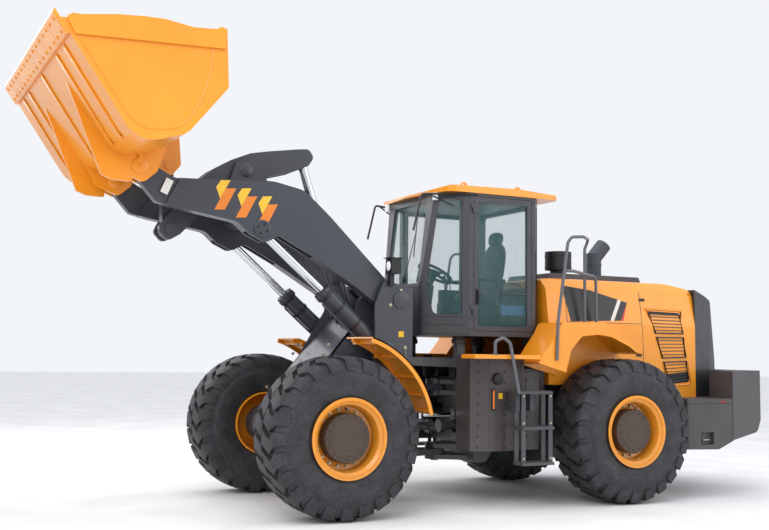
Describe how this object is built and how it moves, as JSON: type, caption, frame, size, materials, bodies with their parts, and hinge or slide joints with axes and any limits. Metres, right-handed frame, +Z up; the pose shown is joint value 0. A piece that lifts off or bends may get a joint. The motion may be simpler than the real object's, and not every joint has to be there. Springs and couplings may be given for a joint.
{
  "type": "wheel loader",
  "caption": "Articulated wheel loader with a raised boom, a racked bucket on a Z-bar linkage, a glazed cab with a door, steering and lift cylinders and free-turning wheels.",
  "frame": {"origin": "on the ground, at the middle of the machine's length and width", "axes": "+X forward along the machine, +Y to the driver's left, +Z up"},
  "size_m": [8.634, 3.1, 4.488],
  "materials": {
    "orange_paint": "gloss orange enamel",
    "machine_grey": "satin blue-grey enamel",
    "cab_grey": "satin dark grey enamel",
    "dark_grey_paint": "satin near-black enamel",
    "weight_paint": "painted casting, warm dark grey",
    "tank_paint": "satin warm dark grey enamel",
    "rail_grey": "satin mid grey enamel",
    "chrome_rod": "hard chromed and polished",
    "tyre": "dusty black rubber",
    "cast_grey": "painted casting",
    "dark_plastic": "matt dark grey moulding",
    "black_plastic": "matt black moulding",
    "black_paint": "satin black",
    "exhaust_grey": "heat resistant dark grey",
    "tinted_glass": "green-blue tint",
    "seat_fabric": "woven dark cloth",
    "lamp_white": "clear lens over reflector",
    "lamp_black": "black housing"
  },
  "bodies": {
    "rear_body": {"rear_frame": "machine_grey", "rear_axle": "machine_grey", "rear_shafts": "machine_grey", "engine": "cast_grey", "transmission": "cast_grey", "hood": "orange_paint", "hood_top": "dark_plastic", "rear_grille": "dark_grey_paint", "counterweight": "weight_paint", "side_tanks": "tank_paint", "platforms": "orange_paint", "ladders": "machine_grey", "handrails": "rail_grey", "rear_fenders": "orange_paint", "cab_frame": "cab_grey", "cab_glass": "tinted_glass", "cab_roof": "orange_paint", "seat": "seat_fabric", "console": "black_plastic", "exhaust": "exhaust_grey", "precleaner": "black_plastic", "mirror_arms": "black_paint", "cab_lamps": "lamp_white"},
    "front_body": {"front_frame": "machine_grey", "front_axle": "machine_grey", "front_shaft": "machine_grey", "front_fenders": "orange_paint", "head_lamps": "lamp_black", "control_valve": "cast_grey"},
    "boom": {"boom": "machine_grey"},
    "bucket": {"bucket": "orange_paint", "cutting_edge": "orange_paint"},
    "rocker": {"rocker": "machine_grey"},
    "link": {"link": "machine_grey"},
    "lift_left_barrel": {"lift_left_barrel": "machine_grey"},
    "lift_left_rod": {"lift_left_rod": "chrome_rod"},
    "lift_right_barrel": {"lift_right_barrel": "machine_grey"},
    "lift_right_rod": {"lift_right_rod": "chrome_rod"},
    "tilt_barrel": {"tilt_barrel": "machine_grey"},
    "tilt_rod": {"tilt_rod": "chrome_rod"},
    "steer_left_barrel": {"steer_left_barrel": "machine_grey"},
    "steer_left_rod": {"steer_left_rod": "chrome_rod"},
    "steer_right_barrel": {"steer_right_barrel": "machine_grey"},
    "steer_right_rod": {"steer_right_rod": "chrome_rod"},
    "wheel_front_left": {"wheel_front_left": "orange_paint", "tyre_front_left": "tyre"},
    "wheel_front_right": {"wheel_front_right": "orange_paint", "tyre_front_right": "tyre"},
    "wheel_rear_left": {"wheel_rear_left": "orange_paint", "tyre_rear_left": "tyre"},
    "wheel_rear_right": {"wheel_rear_right": "orange_paint", "tyre_rear_right": "tyre"},
    "door": {"door_frame": "cab_grey", "door_glass": "tinted_glass"}
  },
  "joints": [
    {"name": "articulation", "type": "hinge", "parent": "rear_body", "child": "front_body", "pos_m": [-0.25139, 0, 0.855], "axis": [0, 0, 1], "range_deg": [-35, 35]},
    {"name": "boom_lift", "type": "hinge", "parent": "front_body", "child": "boom", "pos_m": [0.54861, 0, 2.14], "axis": [0, -1, 0], "range_deg": [-58, 20.5]},
    {"name": "bucket_tilt", "type": "hinge", "parent": "boom", "child": "bucket", "pos_m": [3.31881, 0, 3.31988], "axis": [0, 1, 0], "range_deg": [-48, 120]},
    {"name": "rocker_pivot", "type": "hinge", "parent": "boom", "child": "rocker", "pos_m": [2.10792, 0, 3.4476], "axis": [0, -1, 0], "range_deg": [-15.5, 38]},
    {"name": "link_pivot", "type": "hinge", "parent": "bucket", "child": "link", "pos_m": [2.91214, 0, 3.43253], "axis": [0, -1, 0], "range_deg": [-28, 68]},
    {"name": "lift_left_swing", "type": "hinge", "parent": "front_body", "child": "lift_left_barrel", "pos_m": [0.69861, 0.53, 1.62], "axis": [0, -1, 0], "range_deg": [-60.5, 22]},
    {"name": "lift_left_stroke", "type": "slide", "parent": "lift_left_barrel", "child": "lift_left_rod", "axis": [0.7596, 0, 0.6504], "range_m": [-0.515, 0.185]},
    {"name": "lift_right_swing", "type": "hinge", "parent": "front_body", "child": "lift_right_barrel", "pos_m": [0.69861, -0.53, 1.62], "axis": [0, -1, 0], "range_deg": [-60.5, 22]},
    {"name": "lift_right_stroke", "type": "slide", "parent": "lift_right_barrel", "child": "lift_right_rod", "axis": [0.7596, 0, 0.6504], "range_m": [-0.515, 0.185]},
    {"name": "tilt_swing", "type": "hinge", "parent": "front_body", "child": "tilt_barrel", "pos_m": [0.82861, 0, 1.8], "axis": [0, -1, 0], "range_deg": [-56, 20]},
    {"name": "tilt_stroke", "type": "slide", "parent": "tilt_barrel", "child": "tilt_rod", "axis": [0.3137, 0, 0.9495], "range_m": [-0.35, 0.14]},
    {"name": "steer_left_swing", "type": "hinge", "parent": "rear_body", "child": "steer_left_barrel", "pos_m": [-0.89139, 0.49, 0.93], "axis": [0, 0, 1], "range_deg": [-13, 13]},
    {"name": "steer_left_stroke", "type": "slide", "parent": "steer_left_barrel", "child": "steer_left_rod", "axis": [0.9979, -0.0653, 0], "range_m": [-0.275, 0.275]},
    {"name": "steer_right_swing", "type": "hinge", "parent": "rear_body", "child": "steer_right_barrel", "pos_m": [-0.89139, -0.49, 0.93], "axis": [0, 0, 1], "range_deg": [-13, 13]},
    {"name": "steer_right_stroke", "type": "slide", "parent": "steer_right_barrel", "child": "steer_right_rod", "axis": [0.9979, 0.0653, 0], "range_m": [-0.275, 0.275]},
    {"name": "door_hinge", "type": "hinge", "parent": "rear_body", "child": "door", "pos_m": [-0.26639, 0.792, 2.5], "axis": [0, 0, -1], "range_deg": [0, 90]},
    {"name": "spin_front_left", "type": "hinge", "parent": "front_body", "child": "wheel_front_left", "pos_m": [1.44861, 1.125, 0.778], "axis": [0, 1, 0], "continuous": true},
    {"name": "spin_front_right", "type": "hinge", "parent": "front_body", "child": "wheel_front_right", "pos_m": [1.44861, -1.125, 0.778], "axis": [0, 1, 0], "continuous": true},
    {"name": "spin_rear_left", "type": "hinge", "parent": "rear_body", "child": "wheel_rear_left", "pos_m": [-1.95139, 1.125, 0.778], "axis": [0, 1, 0], "continuous": true},
    {"name": "spin_rear_right", "type": "hinge", "parent": "rear_body", "child": "wheel_rear_right", "pos_m": [-1.95139, -1.125, 0.778], "axis": [0, 1, 0], "continuous": true}
  ],
  "couplings": [
    {"joint": "rocker_pivot", "follows": "bucket_tilt", "ratio": 0.31},
    {"joint": "link_pivot", "follows": "bucket_tilt", "ratio": 0.55},
    {"joint": "lift_left_swing", "follows": "boom_lift", "ratio": 1.03},
    {"joint": "lift_left_stroke", "follows": "boom_lift", "m_per_rad": 0.505},
    {"joint": "lift_right_swing", "follows": "boom_lift", "ratio": 1.03},
    {"joint": "lift_right_stroke", "follows": "boom_lift", "m_per_rad": 0.505},
    {"joint": "tilt_swing", "follows": "boom_lift", "ratio": 0.95},
    {"joint": "tilt_stroke", "follows": "bucket_tilt", "m_per_rad": -0.165},
    {"joint": "steer_left_swing", "follows": "articulation", "ratio": 0.36},
    {"joint": "steer_left_stroke", "follows": "articulation", "m_per_rad": -0.44},
    {"joint": "steer_right_swing", "follows": "articulation", "ratio": 0.36},
    {"joint": "steer_right_stroke", "follows": "articulation", "m_per_rad": 0.44}
  ]
}
